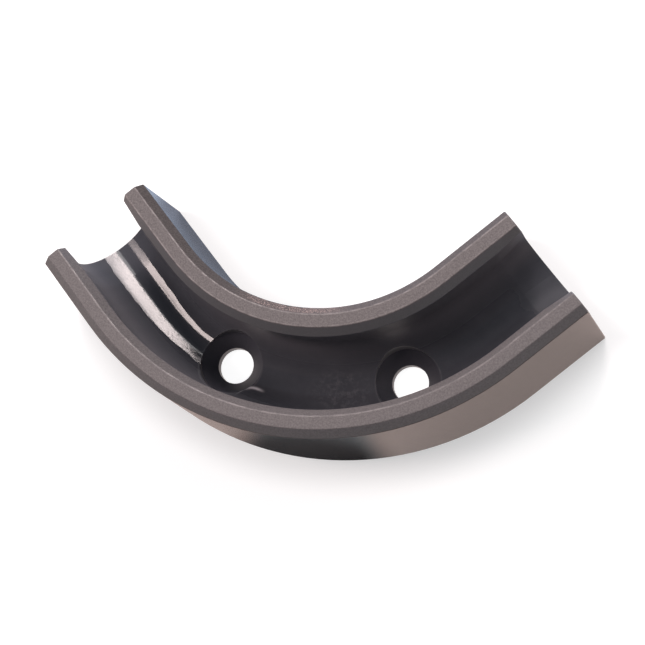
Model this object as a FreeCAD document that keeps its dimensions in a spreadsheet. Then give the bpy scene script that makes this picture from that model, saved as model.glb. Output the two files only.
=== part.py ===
"""Pipe bend support clip: a moulded channel that carries a pipe round a right-angle bend."""
import FreeCAD
import Part
import Sketcher
import math
import os

# Driving dimensions, in millimetres and degrees
SIZES = [
    ("pipe_diameter", 10.0, "outside diameter of the pipe that the channel holds"),
    ("pipe_clearance", 0.25, "gap between the pipe and the round of the channel"),
    ("bend_radius", 30.0, "radius of the pipe's centreline in the bend"),
    ("bend_angle", 90.0, "how far the channel turns the pipe"),
    ("arm_length", 11.2, "straight run after the bend, along the flat back"),
    ("body_height", 15.9, "from the flat back to the rims"),
    ("floor_thickness", 2.9, "under the lowest line of the channel"),
    ("mouth_opening", 8.9, "between the two lips that snap over the pipe"),
    ("lip_width", 0.95, "slope from the rim down to the lip, across"),
    ("lip_height", 1.2, "slope from the rim down to the lip, down"),
    ("rim_width", 1.6, "flat top of each wall"),
    ("shoulder_width", 1.0, "slope from the rim to the outer wall, across"),
    ("shoulder_height", 1.1, "slope from the rim to the outer wall, down"),
    ("wall_draft", 1.5, "lean of the outer walls towards the rims"),
    ("end_draft", 2.5, "lean of the end faces towards the middle"),
    ("bell_length", 4.6, "length of the flare at each end of the channel"),
    ("bell_depth", 0.35, "growth of the channel's radius over the flare"),
    ("screw_angle", 22.7, "turn about the bend axis from the middle to a screw hole"),
    ("screw_hole_diameter", 4.7, "clearance hole for the screw"),
    ("screw_head_diameter", 8.2, "wide end of the countersink and the way in above it"),
    ("countersink_angle", 90.0, "full angle of the countersink"),
    ("screw_land", 1.1, "straight hole left under the countersink"),
    ("edge_round", 0.2, "rounding of the moulded edges"),
]
SPARE = 1.0  # how far a cutting outline stands clear of the body
CRISP = 20.0  # least angle between two faces whose edge is rounded, in degrees
TOUCHING = 0.001  # how far a corner may lie from the level it is sought at

document = FreeCAD.newDocument("pipe_bend_support")
sheet = document.addObject("Spreadsheet::Sheet", "sizes")
for row, (alias, amount, meaning) in enumerate(SIZES, 1):
    sheet.set("A%d" % row, alias)
    sheet.set("B%d" % row, str(amount))
    sheet.set("C%d" % row, meaning)
    sheet.setAlias("B%d" % row, alias)
document.recompute()

BORE_RADIUS = "sizes.pipe_diameter / 2 + sizes.pipe_clearance"
BORE_HEIGHT = "sizes.floor_thickness + " + BORE_RADIUS
START, FINISH, CENTRE = 1, 2, 3
SKETCH_ORIGIN = (-1, START)
SKETCH_LEVEL = -1


def size(alias):
    return float(sheet.get(alias))


def origin_plane(body, role):
    return next(item for item in body.Origin.OriginFeatures if item.Role == role)


class RadialSketch:
    """A sketch whose upright axis is the bend axis, turned about it and moved along the arm.

    Points are given as distance across from the channel's centreline and height above the
    back. They only place the lines roughly: the constraints set the shape.
    """

    def __init__(self, body, name, turn, distance="0"):
        self.sketch = body.newObject("Sketcher::SketchObject", name)
        self.sketch.AttachmentSupport = [(origin_plane(body, "YZ_Plane"), "")]
        self.sketch.MapMode = "FlatFace"
        upright = FreeCAD.Rotation(FreeCAD.Vector(0, 1, 0), size("bend_angle"))
        self.sketch.AttachmentOffset = FreeCAD.Placement(FreeCAD.Vector(), upright)
        place = {
            "Rotation.Angle": turn,
            "Base.x": "sizes.bend_radius + (%s) * sin(%s)" % (distance, turn),
            "Base.z": "(%s) * cos(%s)" % (distance, turn),
        }
        for part_of_place, expression in place.items():
            self.sketch.setExpression("AttachmentOffset." + part_of_place, expression)
        self.middle = self.line((0, 0), (0, size("body_height")), construction=True)
        self.rule("Vertical", self.middle)
        self.rule("PointOnObject", self.middle, START, SKETCH_LEVEL)
        self.across((self.middle, START), SKETCH_ORIGIN, "sizes.bend_radius")
        self.up((self.middle, START), (self.middle, FINISH), "sizes.body_height")

    def point(self, place):
        return FreeCAD.Vector(place[0] - size("bend_radius"), place[1], 0)

    def line(self, first, last, construction=False):
        return self.sketch.addGeometry(Part.LineSegment(self.point(first), self.point(last)), construction)

    def lines(self, places):
        """A run of lines through the places, each joined to the one before it."""
        run = [self.line(first, last) for first, last in zip(places, places[1:])]
        for before, after in zip(run, run[1:]):
            self.rule("Coincident", before, FINISH, after, START)
        return run

    def rule(self, kind, *items):
        self.sketch.addConstraint(Sketcher.Constraint(kind, *items))

    def mirror(self, one, other):
        self.rule("Symmetric", *one, *other, self.middle)

    def dimension(self, kind, items, expression, guess=1.0):
        number = self.sketch.addConstraint(Sketcher.Constraint(kind, *items, guess))
        self.sketch.setExpression("Constraints[%d]" % number, expression)

    def across(self, one, other, expression):
        self.dimension("DistanceX", one + other, expression, self.gap(one, other).x)

    def up(self, one, other, expression):
        self.dimension("DistanceY", one + other, expression, self.gap(one, other).y)

    def gap(self, one, other):
        return self.sketch.getPoint(*other) - self.sketch.getPoint(*one)


def draw_hollow(outline, growth="0", growth_guess=0.0):
    """The channel's inside, from one rim round the floor to the other rim.

    The walls lean in from the round to the lips, so the channel snaps over the pipe.
    Returns the two slopes under the rims, whose open ends are at rim height.
    """
    radius = size("pipe_diameter") / 2 + size("pipe_clearance")
    height = size("floor_thickness") + radius
    radius += growth_guess
    rim = (size("mouth_opening") / 2 + size("lip_width"), size("body_height"))
    lip = (size("mouth_opening") / 2 + growth_guess, rim[1] - size("lip_height"))
    rise = lip[1] - height
    lean = math.atan2(rise, lip[0]) - math.acos(radius / math.hypot(lip[0], rise))
    touch = (radius * math.cos(lean), height + radius * math.sin(lean))

    right_slope, right_wall = outline.lines([rim, lip, touch])
    left_wall, left_slope = outline.lines([(-touch[0], touch[1]), (-lip[0], lip[1]), (-rim[0], rim[1])])
    circle = Part.Circle(outline.point((0, height)), FreeCAD.Vector(0, 0, 1), radius)
    floor = outline.sketch.addGeometry(Part.ArcOfCircle(circle, math.pi - lean, 2 * math.pi + lean))
    outline.rule("Tangent", floor, FINISH, right_wall, FINISH)
    outline.rule("Tangent", floor, START, left_wall, START)
    outline.rule("PointOnObject", floor, CENTRE, outline.middle)
    outline.up(SKETCH_ORIGIN, (floor, CENTRE), BORE_HEIGHT)
    outline.dimension("Radius", (floor,), BORE_RADIUS + " + " + growth, radius)

    outline.mirror((right_slope, START), (left_slope, FINISH))
    outline.mirror((right_slope, FINISH), (left_slope, START))
    outline.across((left_slope, START), (right_slope, FINISH), "sizes.mouth_opening + 2 * (%s)" % growth)
    outline.across((left_slope, FINISH), (right_slope, START), "sizes.mouth_opening + 2 * sizes.lip_width")
    outline.up((right_slope, FINISH), (right_slope, START), "sizes.lip_height")
    outline.up(SKETCH_ORIGIN, (right_slope, START), "sizes.body_height")
    return right_slope, left_slope


def channel_section(body, name, turn):
    """The whole section: flat back, leaning walls, bevelled rims and the hollow between."""
    outline = RadialSketch(body, name, turn)
    right_slope, left_slope = draw_hollow(outline)
    height = size("body_height")
    rim_inner = size("mouth_opening") / 2 + size("lip_width")
    rim_outer = rim_inner + size("rim_width")
    shoulder = (rim_outer + size("shoulder_width"), height - size("shoulder_height"))
    foot = shoulder[0] + shoulder[1] * math.tan(math.radians(size("wall_draft")))
    places = [(rim_inner, height), (rim_outer, height), shoulder, (foot, 0)]
    mirrored = [(-x, z) for x, z in reversed(places)]
    rim, bevel, wall, back, far_wall, far_bevel, far_rim = outline.lines(places + mirrored)
    outline.rule("Coincident", rim, START, right_slope, START)
    outline.rule("Coincident", far_rim, FINISH, left_slope, FINISH)
    for one, other in ((rim, far_bevel), (bevel, far_wall), (wall, back)):
        outline.mirror((one, FINISH), (other, FINISH))
    outline.rule("Horizontal", rim)
    outline.across((rim, START), (rim, FINISH), "sizes.rim_width")
    outline.across((bevel, START), (bevel, FINISH), "sizes.shoulder_width")
    outline.up((bevel, FINISH), (bevel, START), "sizes.shoulder_height")
    outline.rule("PointOnObject", back, START, SKETCH_LEVEL)
    lean = math.radians(size("wall_draft") - 90)
    outline.dimension("Angle", (wall,), "sizes.wall_draft - 90", lean)
    return outline.sketch


def bell_section(body, name, distance, growth, growth_guess):
    """The hollow, grown by the flare and closed above the rims, to cut with."""
    outline = RadialSketch(body, name, "sizes.bend_angle / 2", distance)
    right_slope, left_slope = draw_hollow(outline, growth, growth_guess)
    half = size("mouth_opening") / 2 + size("lip_width")
    rim, top = size("body_height"), size("body_height") + SPARE
    left, cover, right = outline.lines([(-half, rim), (-half, top), (half, top), (half, rim)])
    outline.rule("Coincident", left, START, left_slope, FINISH)
    outline.rule("Coincident", right, FINISH, right_slope, START)
    outline.rule("Vertical", left)
    outline.rule("Vertical", right)
    outline.rule("Horizontal", cover)
    outline.up((left, START), (left, FINISH), str(SPARE))
    return outline.sketch


def screw_section(body, name):
    """Half of the countersunk hole and of the way in for the screw head above it."""
    outline = RadialSketch(body, name, "sizes.screw_angle")
    hole = size("screw_hole_diameter") / 2
    head = size("screw_head_diameter") / 2
    seat = size("screw_land") + (head - hole) / math.tan(math.radians(size("countersink_angle") / 2))
    top = size("floor_thickness") + size("pipe_diameter") / 2 + size("pipe_clearance")
    places = [(0, -SPARE), (hole, -SPARE), (hole, size("screw_land")), (head, seat), (head, top), (0, top)]
    bottom, shank, cone, way_in, cover, axis = outline.lines(places + places[:1])
    outline.rule("Coincident", axis, FINISH, bottom, START)
    for level in (bottom, cover):
        outline.rule("Horizontal", level)
    for upright in (shank, way_in, axis):
        outline.rule("Vertical", upright)
    outline.rule("PointOnObject", bottom, START, outline.middle)
    outline.up((bottom, START), SKETCH_ORIGIN, str(SPARE))
    outline.across((bottom, START), (bottom, FINISH), "sizes.screw_hole_diameter / 2")
    outline.across((cover, FINISH), (cover, START), "sizes.screw_head_diameter / 2")
    outline.up(SKETCH_ORIGIN, (shank, FINISH), "sizes.screw_land")
    outline.up(SKETCH_ORIGIN, (cover, START), BORE_HEIGHT)
    slope = math.radians(90 - size("countersink_angle") / 2)
    outline.dimension("Angle", (cone,), "90 - sizes.countersink_angle / 2", slope)
    return outline.sketch


def middle_of(edge):
    return edge.valueAt((edge.FirstParameter + edge.LastParameter) / 2)


def meeting_angle(shape, edge):
    """Angle in degrees between the outward directions of the two faces at an edge."""
    spot = middle_of(edge)
    faces = shape.ancestorsOfType(edge, Part.Face)
    normals = [face.normalAt(*face.Surface.parameter(spot)) for face in faces]
    if len(normals) != 2:
        return 0.0
    return math.degrees(normals[0].getAngle(normals[1]))


def at_level(edge, height):
    return all(abs(vertex.Z - height) < TOUCHING for vertex in edge.Vertexes)


def beside_screw(edge):
    """Whether the edge belongs to a screw hole."""
    turn = math.radians(size("screw_angle"))
    reach = size("bend_radius")
    across, along = reach * math.sin(turn), reach * (1 - math.cos(turn))
    spot = middle_of(edge)
    distance = math.hypot(abs(spot.x) - across, spot.y - along)
    return distance < size("screw_head_diameter") / 2 + size("edge_round")


def round_channel_end(edge):
    """Whether the edge runs round an end of the channel, below the lips."""
    turn = math.radians(size("bend_angle") / 2)
    reach = size("bend_radius")
    spot = middle_of(edge)
    outward = abs(spot.x) * math.sin(turn) - (spot.y - reach) * math.cos(turn) - reach
    inside = abs(outward) < size("mouth_opening") / 2 + size("lip_width")
    return inside and spot.z < size("body_height") - size("lip_height")


def moulded_edges(shape):
    """The rounded edges: all crisp ones, apart from those that stay sharp.

    The lips stay sharp where they snap over the pipe, and so do the back, the ends of the
    channel and the screw holes.
    """
    lip = size("body_height") - size("lip_height")
    return [
        "Edge%d" % number
        for number, edge in enumerate(shape.Edges, 1)
        if meeting_angle(shape, edge) > CRISP
        and not at_level(edge, 0)
        and not at_level(edge, lip)
        and not round_channel_end(edge)
        and not beside_screw(edge)
    ]


# The bend is turned in one piece. One arm, its flare and its screw hole are made and mirrored
body = document.addObject("PartDesign::Body", "bend_support")
body.Label = "bend_support"

bend = body.newObject("PartDesign::Revolution", "bend")
bend.Profile = channel_section(body, "bend_section", "0")
bend.ReferenceAxis = (bend.Profile[0], ["V_Axis"])
bend.Midplane = True
bend.setExpression("Angle", "sizes.bend_angle")
document.recompute()

arm = body.newObject("PartDesign::Pad", "arm")
arm.Profile = channel_section(body, "arm_section", "sizes.bend_angle / 2")
end_plane = body.newObject("PartDesign::Plane", "end_plane")
end_plane.AttachmentSupport = [(arm.Profile[0], "")]
end_plane.MapMode = "FlatFace"
sideways = FreeCAD.Rotation(FreeCAD.Vector(1, 0, 0), -size("end_draft"))
end_plane.AttachmentOffset = FreeCAD.Placement(FreeCAD.Vector(), sideways)
end_plane.setExpression("AttachmentOffset.Base.z", "sizes.arm_length")
end_plane.setExpression("AttachmentOffset.Rotation.Angle", "-sizes.end_draft")
document.recompute()
arm.Type = "UpToFace"
arm.UpToFace = (end_plane, [""])
document.recompute()

bell = body.newObject("PartDesign::SubtractiveLoft", "bell")
bell_start = bell_section(body, "bell_start", "sizes.arm_length - sizes.bell_length", "0", 0.0)
bell_end = bell_section(body, "bell_end", "sizes.arm_length", "sizes.bell_depth", size("bell_depth"))
bell.Profile = bell_start
bell.Sections = [(bell_end, [""])]
bell.Ruled = True
document.recompute()

screw_hole = body.newObject("PartDesign::Groove", "screw_hole")
screw_hole.Profile = screw_section(body, "screw_section")
screw_hole.ReferenceAxis = (screw_hole.Profile[0], ["Axis0"])
screw_hole.Angle = 360
document.recompute()

other_side = body.newObject("PartDesign::Mirrored", "other_side")
other_side.Originals = [arm, bell, screw_hole]
other_side.MirrorPlane = (origin_plane(body, "YZ_Plane"), [""])
body.Tip = other_side
document.recompute()

rounding = body.newObject("PartDesign::Fillet", "rounding")
rounding.Base = (other_side, moulded_edges(other_side.Shape))
rounding.setExpression("Radius", "sizes.edge_round")
body.Tip = rounding
document.recompute()

failed = [item.Name for item in document.Objects if {"Invalid", "Error"} & set(item.State)]
if failed or body.Shape.isNull() or not body.Shape.isValid() or len(body.Shape.Solids) != 1:
    raise RuntimeError("the support did not build: %s" % failed)

os.makedirs("parts", exist_ok=True)
body.Shape.exportStep(os.path.join("parts", body.Label + ".step"))
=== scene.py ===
import math
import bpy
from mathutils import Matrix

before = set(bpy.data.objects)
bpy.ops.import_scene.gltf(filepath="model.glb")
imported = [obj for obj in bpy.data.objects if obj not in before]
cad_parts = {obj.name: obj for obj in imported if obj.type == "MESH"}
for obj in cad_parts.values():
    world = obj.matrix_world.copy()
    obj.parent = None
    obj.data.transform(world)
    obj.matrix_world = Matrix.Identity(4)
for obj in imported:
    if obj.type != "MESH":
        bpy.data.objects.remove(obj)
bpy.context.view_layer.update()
from types import SimpleNamespace

import bpy
from mathutils import Matrix, Vector

scene = bpy.context.scene

MILLIMETRE = 0.001

# Driving sizes of the support in millimetres and degrees, as it was modelled
BEND_RADIUS = 30.0
ARM_LENGTH = 11.2
BODY_HEIGHT = 15.9
FLOOR_THICKNESS = 2.9
BORE_RADIUS = 5.25
RIM_INNER = 5.4
RIM_WIDTH = 1.6
LIP_DROP = 1.2
SHOULDER_WIDTH = 1.0
SHOULDER_DROP = 1.1
BELL_LENGTH = 4.6
BELL_DEPTH = 0.35
SCREW_ANGLE = 22.7
SCREW_HEAD_RADIUS = 4.1

BORE_AXIS_HEIGHT = FLOOR_THICKNESS + BORE_RADIUS
LIP_HEIGHT = BODY_HEIGHT - LIP_DROP
SHOULDER_HEIGHT = BODY_HEIGHT - SHOULDER_DROP
RIM_OUTER = RIM_INNER + RIM_WIDTH
WALL_SIDE = RIM_OUTER + SHOULDER_WIDTH
DIAGONAL = math.sqrt(0.5)  # cosine of the 45 degrees that an arm turns away from the x axis
# Lengths on the channel's centreline from the middle of the bend
ARM_STARTS = BEND_RADIUS * math.pi / 4
ARM_ENDS = ARM_STARTS + ARM_LENGTH
SCREW_ALONG = BEND_RADIUS * math.radians(SCREW_ANGLE)

# Where one surface of the moulding passes into the next, in millimetres. A pair holds the two
# ends of a smooth step
INSIDE_ENDS = (5.9, 6.3)  # off the centreline
INSIDE_STOPS = (LIP_HEIGHT - 0.05, LIP_HEIGHT + 0.05)
WALL_STARTS = (WALL_SIDE - 0.12, WALL_SIDE)
UPPER_STARTS = (3.8, 6.5)  # heights in the channel
POLISH_FADES = (2.3, 4.2)  # off the centreline
DULL_END_STARTS = (29.0, 34.5)  # along the channel
DULL_END_RAGGEDNESS = 4.0
SLOPE_STARTS = (-RIM_INNER + 0.02, -RIM_INNER + 0.15)  # across
SLOPE_FADES = (0.0, 1.0)  # across
SLOPE_OUTER_SHARE = 0.15  # of the slope's colour, on the outer side of the channel
OUTER_BEVEL_STARTS = (RIM_OUTER - 0.03, RIM_OUTER + 0.1)
OUTER_BEVEL_SHARE = 0.8
INNER_BEVEL_ENDS = (-RIM_OUTER - 0.1, -RIM_OUTER)
INNER_BEVEL_SHARE = 0.9
INNER_BEVEL_FADES = (-3.0, 5.0)  # along x, to the right
INNER_BEVEL_RIGHT_SHARE = 0.4
ROUND_MARGIN = 0.05  # how far outside the round its material stops
BELL_MARGIN = 0.10  # the same at the wide end of the flare
END_FACE_LEAST_COSINE = 0.8  # of the angle between its normal and its arm
END_FACE_REACH = 1.2
WORN_BAND = (0.07, 0.20)  # from the edge

# Noises of the moulding: scale for each millimetre, detail and roughness
GRAIN = (4.6, 3.0, 0.65)
SPECKLE = (7.5, 2.0, 0.6)
CLOUD = (0.35, 3.0, 0.55)
RIPPLE = (0.45, 1.0, 0.5)
SWELL = (0.11, 1.0, 0.5)
DRAWN = (1.0, 3.0, 0.6)
DRAWN_STRETCH = (0.12, 1.6, 1.6)  # along the channel, across it and up
WEAR = (0.9, 2.0, 0.6)
PITS = (7.0, 2.0, 0.6)
SCUFFS = (1.3, 5.0, 0.75)
DULLING = (0.8, 4.0, 0.6)
WOBBLE = (0.3, 2.0, 0.6)
GRIT = (2.4, 3.0, 0.7)

# Between which values of its noise a mark comes in, and its share there
GRAIN_STEP = (0.3, 0.7)
SPECKLE_STEP = (0.5, 0.75)
SPECKLE_SHARE = 0.6
WEAR_STEP = (0.35, 0.65)
WEAR_SHARES = (0.25, 1.0)
WORN_HIGHLIGHT_SHARES = (0.3, 0.8)
PITS_STEP = (0.46, 0.62)
SCUFFS_STEP = (0.44, 0.70)
EDGE_HIGHLIGHT_STEP = (0.35, 0.6)
EDGE_HIGHLIGHT_SHARES = (0.15, 0.5)

# Colours of the moulding. A pair holds the two ends that a noise runs between
RIM_COLOURS = (0.104, 0.092, 0.092, 1), (0.180, 0.160, 0.159, 1)
RIM_SPECKLE_COLOUR = (0.24, 0.214, 0.212, 1)
# Painted highlight: the worn rim edges' lighter colour stands in for the light their rounds catch
WORN_HIGHLIGHT_COLOUR = (0.34, 0.305, 0.30, 1)
SLOPE_COLOURS = (0.126, 0.124, 0.128, 1), (0.184, 0.180, 0.186, 1)
OUTER_BEVEL_COLOURS = (0.140, 0.138, 0.142, 1), (0.185, 0.181, 0.185, 1)
INNER_BEVEL_COLOURS = (0.072, 0.062, 0.060, 1), (0.112, 0.098, 0.095, 1)
PIT_COLOUR = (0.36, 0.275, 0.262, 1)
WALL_COLOURS = (0.066, 0.058, 0.057, 1), (0.096, 0.083, 0.081, 1)
BORE_COLOURS = (0.058, 0.060, 0.071, 1), (0.080, 0.081, 0.094, 1)
COUNTERSINK_COLOURS = (0.060, 0.060, 0.073, 1), (0.080, 0.080, 0.096, 1)
UPPER_COLOURS = (0.118, 0.113, 0.126, 1), (0.150, 0.144, 0.158, 1)
SCUFF_COLOUR = (0.108, 0.107, 0.118, 1)
# Painted highlight: the pale line round the countersinks
EDGE_HIGHLIGHT_COLOUR = (0.16, 0.158, 0.165, 1)
# Painted highlight: the pale colour of the glint beside the left countersink
GLINT_COLOUR = (0.90, 0.85, 0.87, 1)

# Roughness, again between the two ends of a noise
RIM_ROUGHNESS = (0.44, 0.62)
WALL_ROUGHNESS = (0.14, 0.22)
COUNTERSINK_ROUGHNESS = (0.28, 0.40)
POLISHED_ROUGHNESS = (0.07, 0.12)
GRITTY_ROUGHNESS = (0.10, 0.20)
WORN_ROUGHNESS = 0.30
DULL_ROUGHNESS = 0.52

PLASTIC_IOR = 1.48
# Specular levels, of which 0.5 is plain plastic
SHINE = 0.5
DULL_END_SHINE = 0.22
WALL_SHINE = 0.25
INNER_BEVEL_SHINE = 0.12

# The core that formed the channel left a shallow flat along each side of the floor: its side of
# the centreline, where it starts and how wide it is, in millimetres
OUTER_FLAT_START = 1.5
CORE_FLATS = ((1, OUTER_FLAT_START, 1.4), (-1, 0.8, 0.7))
OUTER_FLAT_ROUGHENS = (OUTER_FLAT_START - 0.1, OUTER_FLAT_START + 1.4)
FLAT_BOW = 0.2  # curvature that a flat takes away from the round, for each millimetre
FLAT_WOBBLE = 0.6  # in millimetres, half of it either way
FLAT_WIDENS = (16.0, 29.0)  # lengths along the channel
FLAT_NARROW_SHARE = 0.6  # of its width, before it widens
FLAT_WIDE_SHARE = 1.08  # beyond that

# A painted highlight, a pale line, runs round each countersink just outside its edge
EDGE_HIGHLIGHT_RADIUS = SCREW_HEAD_RADIUS + 0.1
EDGE_HIGHLIGHT_WIDTH = 0.09

# A painted highlight, a pale glint, runs out of the left countersink towards the middle of the
# bend
GLINT_START = -9.0  # length along the channel, less than 0 on the left
GLINT_WIDTH = 0.17
GLINT_OFFSET = 1.36  # across, where it is straight
GLINT_LEAN = 0.12  # across for each millimetre along
GLINT_HOOK = 1.5  # further across at its start, where it curls in
GLINT_HOOK_LENGTH = 0.6
GLINT_FADES_IN = (-0.3, 0.6)  # lengths past its start
GLINT_FADES_OUT = (1.5, 2.9)

# Places of the scuffs and the pits, in millimetres, and how far from them they fade
SCUFF_MIDDLE = 3.5  # along the channel
SCUFF_NARROWING = 1.6
SCUFF_FADES = (2.0, 5.5)
PIT_MIDDLE = -1.2  # along x
PIT_FADES = (3.5, 8.0)
PIT_BAND = (-RIM_OUTER - 0.25, -RIM_OUTER)  # across, on the inner bevel

# Heights of the relief in millimetres, for a noise that runs from 0 to 1
RIPPLE_HEIGHT = 0.005
SWELL_HEIGHT = 0.05
DRAWN_HEIGHT = 0.0004
GRIT_HEIGHT = 0.007
SPECKLE_HEIGHT = 0.010
GRAIN_HEIGHT = 0.022
GRIT_STARTS = (0.9, 1.5)  # across

# The floor round the support: distances in millimetres and strengths, where 1 is white
UNDER_SUPPORT = (-3.0, -1.0)  # past the support's outline, less than 0 inside it
SHADOW_REACH = 6.0
# Painted shade: the camera's glow is dimmer at the support's foot than in the open
SHADOW_GLOW = 0.50  # at the support's foot, as the camera sees it
OPEN_GLOW = 0.76  # beyond the shadow, as the camera sees it
# Painted light: a stronger glow under the support lifts its shadow where the screw holes show the
# floor
HOLE_GLOW = 0.92  # under the support, where it shows through the screw holes
# Painted shade for reflections: the floor that the walls mirror holds dark patches and a share of
# black
MIRRORED_GLOW = 0.72  # beyond the dark patches, as reflections see it
PATCH_HALF_LENGTH = 12.5  # of the dark patch outside the middle of the bend
PATCH_SHIFT = 0.04  # share of the half length that the patch lies to the left
PATCH_REACH = 7.5
PATCH_EDGE = (0.55, 1.0)  # shares of its size between which it fades
LEFT_DIMMING = (-10.0, 8.0)  # along x, from the dimmer left to the right
LEFT_SHARE = 0.55
INNER_PATCH_EDGE = (1.6, 5.0)
PAST_ENDS = (ARM_ENDS + 3.0, ARM_ENDS + 8.0)
OUTER_SIDE = (-6.0, 6.0)  # across
MIDDLE_TINT_ENDS = (6.0, 10.0)  # from the middle, along x
PAINTED_SHADE_ENDS = (6.0, 11.0)
PAINTED_SHADE = (0.45, 0.84)  # share of black in the mirrored floor, and outside the bend's middle
FLOOR_COLOUR = (0.55, 0.55, 0.55, 1)
WHITE = (1, 1, 1, 1)
BLACK = (0, 0, 0, 1)
# Painted reflections: tints of the floor that only the support's reflections see
INNER_TINT = (0.55, 0.69, 0.90, 1)
OUTER_MIDDLE_TINT = (0.84, 0.93, 0.98, 1)
OUTER_ARM_TINT = (1.0, 0.83, 0.77, 1)
HOLE_TINT = (1.0, 0.90, 0.87, 1)
FLOOR_HALF = 3.0  # metres
FLOOR_DROP = 0.01 * MILLIMETRE  # how far the floor lies under the support's flat back

# Studio: directions are azimuth and elevation in degrees, with x at 0 and y at 90
SKY_COLOUR = (0.83, 0.88, 1.0, 1)
LIGHT_SKY_DIRECTION = (120, 5)
SKY_LIGHTENS = (0.4, 0.98)  # cosines of the angle to that direction
SKY_STRENGTHS = (0.14, 0.62)
LIGHT_DISTANCE = 0.5  # metres
LIGHT_AIM = Vector((-0.022, 0.011, 0.003))  # metres, low in the left arm
# Name, direction, where the height points, width and height in degrees, radiance and colour
SOFT_BOXES = (
    ("left_box", (-176.9, 54.0), (135, 0), 15, 20, 15.5, (1.0, 0.85, 0.82)),
    ("back_box", (91.9, 51.5), (135, 0), 9, 16, 19, (1.0, 0.86, 0.84)),
    ("window", (75, 50), (75, 85), 50, 22, 4.4, (1.0, 0.97, 0.96)),
    ("right_box", (20, 33), (20, 70), 18, 18, 3.5, (1.0, 0.86, 0.82)),
)

# The photograph's view: the turn and shift that carry the frame, in millimetres, to the lens
IMAGE_SIZE = 645  # pixels
FOCAL_PIXELS = 1773.32
LENS_TURN = Vector((2.9067, 0.1747, -0.3684))
LENS_SHIFT = Vector((-0.1101, 9.1456, 227.031))
SENSOR_WIDTH = 36.0  # millimetres


class Nodes:
    """Short calls that add linked shader nodes to one material or world."""

    def __init__(self, owner):
        owner.use_nodes = True
        self.tree = owner.node_tree
        self.tree.nodes.clear()

    def add(self, kind, inputs=(), **settings):
        node = self.tree.nodes.new(kind)
        for name, value in settings.items():
            setattr(node, name, value)
        for key, value in dict(inputs).items():
            self.feed(node.inputs[key], value)
        return node

    def feed(self, socket, value):
        if isinstance(value, bpy.types.NodeSocket):
            self.tree.links.new(value, socket)
        else:
            socket.default_value = value

    def math(self, operation, *values):
        node = self.add("ShaderNodeMath", enumerate(values), operation=operation)
        return node.outputs[0]

    def minus(self, first, second):
        return self.math("SUBTRACT", first, second)

    def times(self, first, *others):
        for other in others:
            first = self.math("MULTIPLY", first, other)
        return first

    def times_plus(self, first, second, more):
        return self.math("MULTIPLY_ADD", first, second, more)

    def unsigned(self, value):
        return self.math("ABSOLUTE", value)

    def bell(self, value):
        """One where value is 0, and next to nothing where it is past 2."""
        return self.math("EXPONENT", self.times(value, value, -1.0))

    def ramp(self, value, low, high, to_low=0.0, to_high=1.0):
        """A smooth step from to_low at low to to_high at high."""
        inputs = {"Value": value, "From Min": low, "From Max": high}
        inputs.update({"To Min": to_low, "To Max": to_high})
        return self.add("ShaderNodeMapRange", inputs, interpolation_type="SMOOTHSTEP").outputs[0]

    def hypotenuse(self, first, second):
        squares = [self.times(side, side) for side in (first, second)]
        return self.math("SQRT", self.math("ADD", *squares))

    def noise(self, vector, scale, detail, roughness):
        inputs = {"Vector": vector, "Scale": scale, "Detail": detail, "Roughness": roughness}
        return self.add("ShaderNodeTexNoise", inputs).outputs["Fac"]

    def mix(self, share, first, second):
        """Colour between first and second."""
        node = self.add("ShaderNodeMix", {0: share, 6: first, 7: second}, data_type="RGBA")
        return node.outputs[2]

    def blend(self, share, first, second):
        """Number between first and second."""
        node = self.add("ShaderNodeMix", {0: share, 2: first, 3: second}, data_type="FLOAT")
        return node.outputs[0]

    def send(self, kind, shader):
        """Link a shader to the surface of an output node of that kind."""
        self.tree.links.new(shader.outputs[0], self.add(kind).inputs["Surface"])


def channel_place(nodes):
    """Where a point lies, in millimetres, seen along the channel.

    Across is measured outwards from the channel's centreline, and along is the length on that
    line from the middle of the bend, the same on both sides.
    """
    place = nodes.add("ShaderNodeTexCoord").outputs["Object"]
    scaled = {0: place, "Scale": 1 / MILLIMETRE}
    spot = nodes.add("ShaderNodeVectorMath", scaled, operation="SCALE").outputs[0]
    x, y, z = nodes.add("ShaderNodeSeparateXYZ", {0: spot}).outputs
    side = nodes.unsigned(x)
    inward = nodes.minus(BEND_RADIUS, y)
    in_arm = nodes.math("GREATER_THAN", side, inward)
    from_bend_axis = nodes.hypotenuse(x, inward)
    beside_arm = nodes.times(nodes.math("ADD", side, inward), DIAGONAL)
    across = nodes.minus(nodes.blend(in_arm, from_bend_axis, beside_arm), BEND_RADIUS)
    turned = nodes.times(nodes.math("ARCTAN2", side, inward), BEND_RADIUS)
    run = nodes.times(nodes.minus(side, inward), DIAGONAL)
    along = nodes.blend(in_arm, turned, nodes.math("ADD", run, ARM_STARTS))
    return SimpleNamespace(spot=spot, x=x, z=z, across=across, along=along)


def moulding_place(nodes):
    """The place along the channel, with what the moulding alone needs.

    That is the unsigned offset, the length with a sign, less than 0 on the left, and the
    point in the channel laid out straight.
    """
    at = channel_place(nodes)
    at.off_centre = nodes.unsigned(at.across)
    at.signed_along = nodes.times(at.along, nodes.math("SIGN", at.x))
    parts = {"X": at.signed_along, "Y": at.across, "Z": at.z}
    at.unrolled = nodes.add("ShaderNodeCombineXYZ", parts).outputs[0]
    return at


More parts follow.
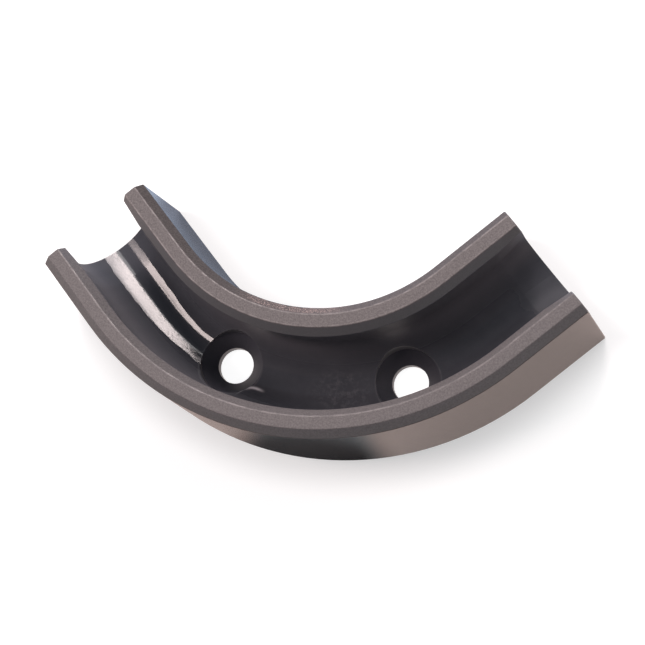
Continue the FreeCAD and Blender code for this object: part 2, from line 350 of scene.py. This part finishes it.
def worn_and_highlit_edges(nodes, at):
    """Share of wear and painted highlight: handling has polished the edges of the rims, and their
    lighter colour is painted highlight.
    """
    edges = (
        (at.off_centre, RIM_INNER, BODY_HEIGHT),
        (at.across, -RIM_OUTER, BODY_HEIGHT),
        (at.off_centre, WALL_SIDE, SHOULDER_HEIGHT),
    )
    worn_and_highlit = 0.0
    for offset, edge_offset, edge_height in edges:
        gap = nodes.hypotenuse(nodes.minus(offset, edge_offset), nodes.minus(at.z, edge_height))
        worn_and_highlit = nodes.math("MAXIMUM", worn_and_highlit, nodes.ramp(gap, *WORN_BAND, 1.0, 0.0))
    return nodes.times(worn_and_highlit, nodes.ramp(nodes.noise(at.spot, *WEAR), *WEAR_STEP, *WEAR_SHARES))


def moulding_zones(nodes, at):
    """Shares from 0 to 1 that tell the moulding's surfaces apart."""
    normal = nodes.add("ShaderNodeNewGeometry").outputs["Normal"]
    normal_x, normal_y = nodes.add("ShaderNodeSeparateXYZ", {0: normal}).outputs[:2]
    facing_out = nodes.times_plus(normal_x, nodes.math("SIGN", at.x), normal_y)
    turned_out = nodes.times(facing_out, DIAGONAL)
    faces_end = nodes.math("GREATER_THAN", turned_out, END_FACE_LEAST_COSINE)
    near_end = nodes.math("GREATER_THAN", at.along, ARM_ENDS - END_FACE_REACH)
    off_end = nodes.minus(1.0, nodes.times(faces_end, near_end))

    below_lip = nodes.ramp(at.z, *INSIDE_STOPS, 1.0, 0.0)
    within_walls = nodes.ramp(at.off_centre, *INSIDE_ENDS, 1.0, 0.0)
    inside = nodes.times(within_walls, below_lip, off_end)
    wall = nodes.times(nodes.ramp(at.off_centre, *WALL_STARTS), off_end)
    from_axis = nodes.hypotenuse(at.across, nodes.minus(at.z, BORE_AXIS_HEIGHT))
    limits = (BORE_RADIUS + ROUND_MARGIN, BORE_RADIUS + BELL_DEPTH + BELL_MARGIN)
    bore_limit = nodes.ramp(at.along, ARM_ENDS - BELL_LENGTH, ARM_ENDS, *limits)
    on_round = nodes.times(inside, nodes.math("LESS_THAN", from_axis, bore_limit))
    on_upper = nodes.times(inside, nodes.ramp(at.z, *UPPER_STARTS))
    dulling = nodes.noise(at.spot, *DULLING)
    ragged = nodes.times_plus(dulling, DULL_END_RAGGEDNESS, at.signed_along)
    dull_end = nodes.times(nodes.ramp(ragged, *DULL_END_STARTS), on_round)
    return SimpleNamespace(off_end=off_end, inside=inside, wall=wall, on_round=on_round,
                           on_upper=on_upper, dull_end=dull_end, worn_and_highlit=worn_and_highlit_edges(nodes, at))


def rim_colour(nodes, at, zones, grain, speckle):
    """Grained plastic of the rims and the end faces, with the sloped lips and bevels."""
    grainy = nodes.ramp(grain, *GRAIN_STEP)
    colour = nodes.mix(grainy, *RIM_COLOURS)
    speckled = nodes.ramp(speckle, *SPECKLE_STEP, 0.0, SPECKLE_SHARE)
    colour = nodes.mix(speckled, colour, RIM_SPECKLE_COLOUR)
    # Painted highlight along the worn edges, lighter than the rim; their lower roughness is real
    # wear
    worn_and_highlit = nodes.times(zones.worn_and_highlit, nodes.blend(speckle, *WORN_HIGHLIGHT_SHARES))
    colour = nodes.mix(worn_and_highlit, colour, WORN_HIGHLIGHT_COLOUR)

    slope_share = nodes.ramp(at.across, *SLOPE_FADES, 1.0, SLOPE_OUTER_SHARE)
    slope = nodes.times(nodes.ramp(at.across, *SLOPE_STARTS), zones.off_end, slope_share)
    colour = nodes.mix(slope, colour, nodes.mix(grain, *SLOPE_COLOURS))

    outer_bevel = nodes.ramp(at.across, *OUTER_BEVEL_STARTS, 0.0, OUTER_BEVEL_SHARE)
    outer_bevel = nodes.times(outer_bevel, zones.off_end)
    colour = nodes.mix(outer_bevel, colour, nodes.mix(grainy, *OUTER_BEVEL_COLOURS))

    inner_bevel = nodes.ramp(at.across, *INNER_BEVEL_ENDS, INNER_BEVEL_SHARE, 0.0)
    bevel_fades = nodes.ramp(at.x, *INNER_BEVEL_FADES, 1.0, INNER_BEVEL_RIGHT_SHARE)
    inner_bevel = nodes.times(inner_bevel, zones.off_end, bevel_fades)
    colour = nodes.mix(inner_bevel, colour, nodes.mix(grainy, *INNER_BEVEL_COLOURS))

    from_pits = nodes.unsigned(nodes.minus(at.x, PIT_MIDDLE))
    pitted = nodes.ramp(at.across, *PIT_BAND, 1.0, 0.0)
    pitted = nodes.times(pitted, nodes.ramp(from_pits, *PIT_FADES, 1.0, 0.0))
    pitted = nodes.times(pitted, nodes.ramp(nodes.noise(at.spot, *PITS), *PITS_STEP))
    return nodes.mix(pitted, colour, PIT_COLOUR)


def scuffs(nodes, at, zones):
    """Share of the scuffs on the floor of the channel, right of its middle."""
    from_middle = nodes.minus(at.signed_along, SCUFF_MIDDLE)
    from_scuffs = nodes.hypotenuse(from_middle, nodes.times(at.across, SCUFF_NARROWING))
    scuffed = nodes.times(nodes.ramp(from_scuffs, *SCUFF_FADES, 1.0, 0.0), zones.on_round)
    return nodes.times(scuffed, nodes.ramp(nodes.noise(at.spot, *SCUFFS), *SCUFFS_STEP))


def painted_edge_highlight(nodes, at, zones, cloud):
    """Share of the painted highlight, a pale line round the countersinks."""
    from_screw = nodes.hypotenuse(nodes.minus(at.along, SCREW_ALONG), at.across)
    off_highlight = nodes.times(nodes.minus(from_screw, EDGE_HIGHLIGHT_RADIUS), 1 / EDGE_HIGHLIGHT_WIDTH)
    strength = nodes.ramp(cloud, *EDGE_HIGHLIGHT_STEP, *EDGE_HIGHLIGHT_SHARES)
    return nodes.times(nodes.bell(off_highlight), strength, zones.on_round)


def painted_glint(nodes, at, zones):
    """Share of the painted highlight, a pale glint beside the left countersink."""
    past_start = nodes.minus(at.signed_along, GLINT_START)
    hook = nodes.math("EXPONENT", nodes.times(past_start, -1 / GLINT_HOOK_LENGTH))
    straight = nodes.times_plus(past_start, GLINT_LEAN, GLINT_OFFSET)
    path = nodes.times_plus(hook, GLINT_HOOK, straight)
    off_glint = nodes.times(nodes.minus(at.across, path), 1 / GLINT_WIDTH)
    fades_in = nodes.ramp(past_start, *GLINT_FADES_IN)
    fades_out = nodes.ramp(past_start, *GLINT_FADES_OUT, 1.0, 0.0)
    return nodes.times(nodes.bell(off_glint), fades_in, fades_out, zones.inside)


def moulding_colour(nodes, at, zones, grain, speckle):
    """Colour of every surface, from the rims down to the floor of the channel and its marks,
    painted highlights among them.
    """
    cloud = nodes.noise(at.spot, *CLOUD)
    colour = rim_colour(nodes, at, zones, grain, speckle)
    colour = nodes.mix(zones.wall, colour, nodes.mix(cloud, *WALL_COLOURS))
    colour = nodes.mix(zones.inside, colour, nodes.mix(grain, *COUNTERSINK_COLOURS))
    colour = nodes.mix(zones.on_round, colour, nodes.mix(cloud, *BORE_COLOURS))
    colour = nodes.mix(scuffs(nodes, at, zones), colour, SCUFF_COLOUR)
    colour = nodes.mix(painted_edge_highlight(nodes, at, zones, cloud), colour, EDGE_HIGHLIGHT_COLOUR)
    colour = nodes.mix(zones.on_upper, colour, nodes.mix(grain, *UPPER_COLOURS))
    # Last, the painted highlight beside the left countersink
    return nodes.mix(painted_glint(nodes, at, zones), colour, GLINT_COLOUR)


def moulding_roughness(nodes, at, zones, grain, speckle, drawn):
    """Polished low in the channel, dull higher up and at its right end, grained outside it."""
    rim = nodes.blend(grain, *RIM_ROUGHNESS)
    rough = nodes.blend(zones.wall, rim, nodes.blend(grain, *WALL_ROUGHNESS))
    rough = nodes.blend(zones.worn_and_highlit, rough, WORN_ROUGHNESS)
    countersink = nodes.blend(grain, *COUNTERSINK_ROUGHNESS)
    lining = nodes.blend(zones.on_upper, countersink, DULL_ROUGHNESS)
    rough = nodes.blend(zones.inside, rough, lining)
    polished = nodes.blend(drawn, *POLISHED_ROUGHNESS)
    gritty = nodes.blend(speckle, *GRITTY_ROUGHNESS)
    on_flat = nodes.ramp(at.across, *OUTER_FLAT_ROUGHENS)
    dull = nodes.math("MAXIMUM", nodes.ramp(at.off_centre, *POLISH_FADES), zones.dull_end)
    bore = nodes.blend(dull, nodes.blend(on_flat, polished, gritty), DULL_ROUGHNESS)
    return nodes.blend(zones.on_round, rough, bore)


def core_flats(nodes, at):
    """Depth, less than 0, of the shallow flats that the core left along the floor."""
    lengthwise = nodes.add("ShaderNodeCombineXYZ", {"X": at.signed_along}).outputs[0]
    wobble = nodes.times_plus(nodes.noise(lengthwise, *WOBBLE), FLAT_WOBBLE, -FLAT_WOBBLE / 2)
    depth = 0.0
    for side, start, width in CORE_FLATS:
        widths = (FLAT_NARROW_SHARE * width, FLAT_WIDE_SHARE * width)
        widening = nodes.ramp(at.along, *FLAT_WIDENS, *widths)
        past_start = nodes.math("MAXIMUM", nodes.times_plus(at.across, side, -start), 0.0)
        over_flat = nodes.math("MINIMUM", past_start, nodes.math("ADD", wobble, widening))
        depth = nodes.times_plus(nodes.times(over_flat, over_flat), -FLAT_BOW / 2, depth)
    return depth


def moulding_normal(nodes, at, zones, grain, speckle, drawn):
    """Normal of the relief: waves, flats and grit on the round, grain outside the channel."""
    waves = nodes.times(drawn, DRAWN_HEIGHT)
    waves = nodes.times_plus(nodes.noise(at.spot, *RIPPLE), RIPPLE_HEIGHT, waves)
    waves = nodes.times_plus(nodes.noise(at.spot, *SWELL), SWELL_HEIGHT, waves)
    raised = nodes.math("ADD", waves, core_flats(nodes, at))
    grit_height = nodes.ramp(at.across, *GRIT_STARTS, 0.0, GRIT_HEIGHT)
    raised = nodes.times_plus(nodes.noise(at.spot, *GRIT), grit_height, raised)
    grained = nodes.times_plus(speckle, SPECKLE_HEIGHT, nodes.times(grain, GRAIN_HEIGHT))
    outside = nodes.times(grained, nodes.minus(1.0, zones.inside))
    height = nodes.times_plus(raised, zones.on_round, outside)
    bump = {"Height": height, "Distance": MILLIMETRE, "Strength": 1.0}
    return nodes.add("ShaderNodeBump", bump).outputs[0]


def moulded_plastic():
    """Dark grey moulding: polished in the channel, grained on the rims, smoother on the walls."""
    material = bpy.data.materials.new("moulded_plastic")
    nodes = Nodes(material)
    at = moulding_place(nodes)
    zones = moulding_zones(nodes, at)
    grain = nodes.noise(at.spot, *GRAIN)
    speckle = nodes.noise(at.spot, *SPECKLE)
    stretch = {0: at.unrolled, 1: DRAWN_STRETCH}
    stretched = nodes.add("ShaderNodeVectorMath", stretch, operation="MULTIPLY").outputs[0]
    drawn = nodes.noise(stretched, *DRAWN)

    bore_shine = nodes.blend(zones.dull_end, SHINE, DULL_END_SHINE)
    shine = nodes.blend(zones.wall, bore_shine, WALL_SHINE)
    on_inner_bevel = nodes.math("LESS_THAN", at.across, -RIM_OUTER)
    shine = nodes.blend(on_inner_bevel, shine, INNER_BEVEL_SHINE)
    surface = nodes.add("ShaderNodeBsdfPrincipled", {
        "Base Color": moulding_colour(nodes, at, zones, grain, speckle),
        "Roughness": moulding_roughness(nodes, at, zones, grain, speckle, drawn),
        "Normal": moulding_normal(nodes, at, zones, grain, speckle, drawn),
        "Specular IOR Level": shine,
        "IOR": PLASTIC_IOR,
    })
    nodes.send("ShaderNodeOutputMaterial", surface)
    return material


def mirrored_glow(nodes, at, away, outer):
    """How bright the floor shows in the walls, with painted shade: dark close by, and furthest
    outside the middle.
    """
    sideways = nodes.times_plus(at.x, 1 / PATCH_HALF_LENGTH, PATCH_SHIFT)
    from_patch = nodes.hypotenuse(sideways, nodes.times(away, 1 / PATCH_REACH))
    outer_glow = nodes.ramp(from_patch, *PATCH_EDGE, 0.0, MIRRORED_GLOW)
    outer_glow = nodes.times(outer_glow, nodes.ramp(at.x, *LEFT_DIMMING, LEFT_SHARE, 1.0))
    inner_glow = nodes.ramp(away, *INNER_PATCH_EDGE, 0.0, MIRRORED_GLOW)
    past_ends = nodes.ramp(at.along, *PAST_ENDS)
    return nodes.blend(past_ends, nodes.blend(outer, inner_glow, outer_glow), MIRRORED_GLOW)


def floor_material():
    """Pale matt floor with a glow that only camera, glossy and transmission rays see.

    The camera sees it neutral, with painted shade at the support's foot. Reflections see painted
    reflections and shade: it is tinted, bluish inside the bend and mostly warm outside it, with
    the dark patches of mirrored_glow.
    """
    material = bpy.data.materials.new("pale_floor")
    nodes = Nodes(material)
    at = channel_place(nodes)
    path = nodes.add("ShaderNodeLightPath").outputs
    mirrored = path["Is Glossy Ray"]
    passed_on = nodes.math("MAXIMUM", mirrored, path["Is Transmission Ray"])
    seen = nodes.math("MAXIMUM", path["Is Camera Ray"], passed_on)
    beside = nodes.minus(nodes.unsigned(at.across), WALL_SIDE)
    away = nodes.math("MAXIMUM", beside, nodes.minus(at.along, ARM_ENDS))
    under = nodes.ramp(away, *UNDER_SUPPORT, 1.0, 0.0)
    outer = nodes.ramp(at.across, *OUTER_SIDE)
    off_middle = nodes.unsigned(at.x)

    in_arm_part = nodes.ramp(off_middle, *MIDDLE_TINT_ENDS)
    outer_tint = nodes.mix(in_arm_part, OUTER_MIDDLE_TINT, OUTER_ARM_TINT)
    tint = nodes.mix(under, nodes.mix(outer, INNER_TINT, outer_tint), HOLE_TINT)
    # Painted shade in the mirrored floor, darkest outside the bend's middle
    painted_shade_share = nodes.times(outer, nodes.ramp(off_middle, *PAINTED_SHADE_ENDS, 1.0, 0.0))
    mirrored_colour = nodes.mix(nodes.blend(painted_shade_share, *PAINTED_SHADE), tint, BLACK)
    plain_glow = nodes.ramp(away, 0.0, SHADOW_REACH, SHADOW_GLOW, OPEN_GLOW)
    strength = nodes.blend(mirrored, plain_glow, mirrored_glow(nodes, at, away, outer))

    matt_colour = nodes.mix(mirrored, FLOOR_COLOUR, mirrored_colour)
    matt = nodes.add("ShaderNodeBsdfDiffuse", {"Color": matt_colour})
    glow = nodes.add("ShaderNodeEmission", {
        "Color": nodes.mix(mirrored, WHITE, tint),
        "Strength": nodes.blend(under, strength, HOLE_GLOW),
    })
    lit = nodes.add("ShaderNodeAddShader", {0: matt.outputs[0], 1: glow.outputs[0]})
    ends = {0: seen, 1: matt.outputs[0], 2: lit.outputs[0]}
    nodes.send("ShaderNodeOutputMaterial", nodes.add("ShaderNodeMixShader", ends))
    return material


def add_floor():
    square = ((-1, -1), (1, -1), (1, 1), (-1, 1))
    mesh = bpy.data.meshes.new("floor")
    mesh.from_pydata([(x * FLOOR_HALF, y * FLOOR_HALF, 0) for x, y in square], [], [(0, 1, 2, 3)])
    floor = bpy.data.objects.new("floor", mesh)
    floor.location.z = -FLOOR_DROP
    scene.collection.objects.link(floor)
    mesh.materials.append(floor_material())


def towards(azimuth, elevation):
    """Unit vector in a direction given in degrees."""
    azimuth, elevation = math.radians(azimuth), math.radians(elevation)
    level = math.cos(elevation)
    return Vector((math.cos(azimuth) * level, math.sin(azimuth) * level, math.sin(elevation)))


def add_soft_box(name, direction, rise, width, height, radiance, colour):
    """A soft box in that direction. Width and height are in degrees as the support sees them."""
    data = bpy.data.lights.new(name, "AREA")
    data.shape = "RECTANGLE"
    data.size = 2 * LIGHT_DISTANCE * math.tan(math.radians(width / 2))
    data.size_y = 2 * LIGHT_DISTANCE * math.tan(math.radians(height / 2))
    data.energy = radiance * math.pi * data.size * data.size_y
    data.color = colour
    light = bpy.data.objects.new(name, data)
    back = towards(*direction)
    up = towards(*rise)
    up = (up - back * up.dot(back)).normalized()
    turn = Matrix((up.cross(back), up, back)).transposed()
    light.matrix_world = Matrix.Translation(LIGHT_AIM + back * LIGHT_DISTANCE) @ turn.to_4x4()
    light.visible_camera = False
    scene.collection.objects.link(light)


def add_world():
    """Dim bluish studio, lightest low down behind the support on its left."""
    world = bpy.data.worlds.new("studio")
    scene.world = world
    nodes = Nodes(world)
    direction = nodes.add("ShaderNodeTexCoord").outputs["Generated"]
    vectors = {0: direction, 1: tuple(towards(*LIGHT_SKY_DIRECTION))}
    facing = nodes.add("ShaderNodeVectorMath", vectors, operation="DOT_PRODUCT").outputs["Value"]
    strength = nodes.ramp(facing, *SKY_LIGHTENS, *SKY_STRENGTHS)
    sky = nodes.add("ShaderNodeBackground", {"Color": SKY_COLOUR, "Strength": strength})
    nodes.send("ShaderNodeOutputWorld", sky)


def add_camera():
    """The camera at the photograph's angle and place."""
    data = bpy.data.cameras.new("camera")
    data.sensor_width = SENSOR_WIDTH
    data.lens = FOCAL_PIXELS / IMAGE_SIZE * SENSOR_WIDTH
    data.clip_start = 10 * MILLIMETRE
    camera = bpy.data.objects.new("camera", data)
    back = Matrix.Rotation(LENS_TURN.length, 3, LENS_TURN).transposed()
    flip = Matrix(((1, 0, 0), (0, -1, 0), (0, 0, -1)))
    place = -(back @ LENS_SHIFT) * MILLIMETRE
    camera.matrix_world = Matrix.Translation(place) @ (back @ flip).to_4x4()
    scene.collection.objects.link(camera)
    scene.camera = camera


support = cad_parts["bend_support"]
finish_material = moulded_plastic()
for slot in support.material_slots:
    slot.material = finish_material

add_floor()
add_world()
for soft_box in SOFT_BOXES:
    add_soft_box(*soft_box)
add_camera()

scene.view_settings.view_transform = "Standard"
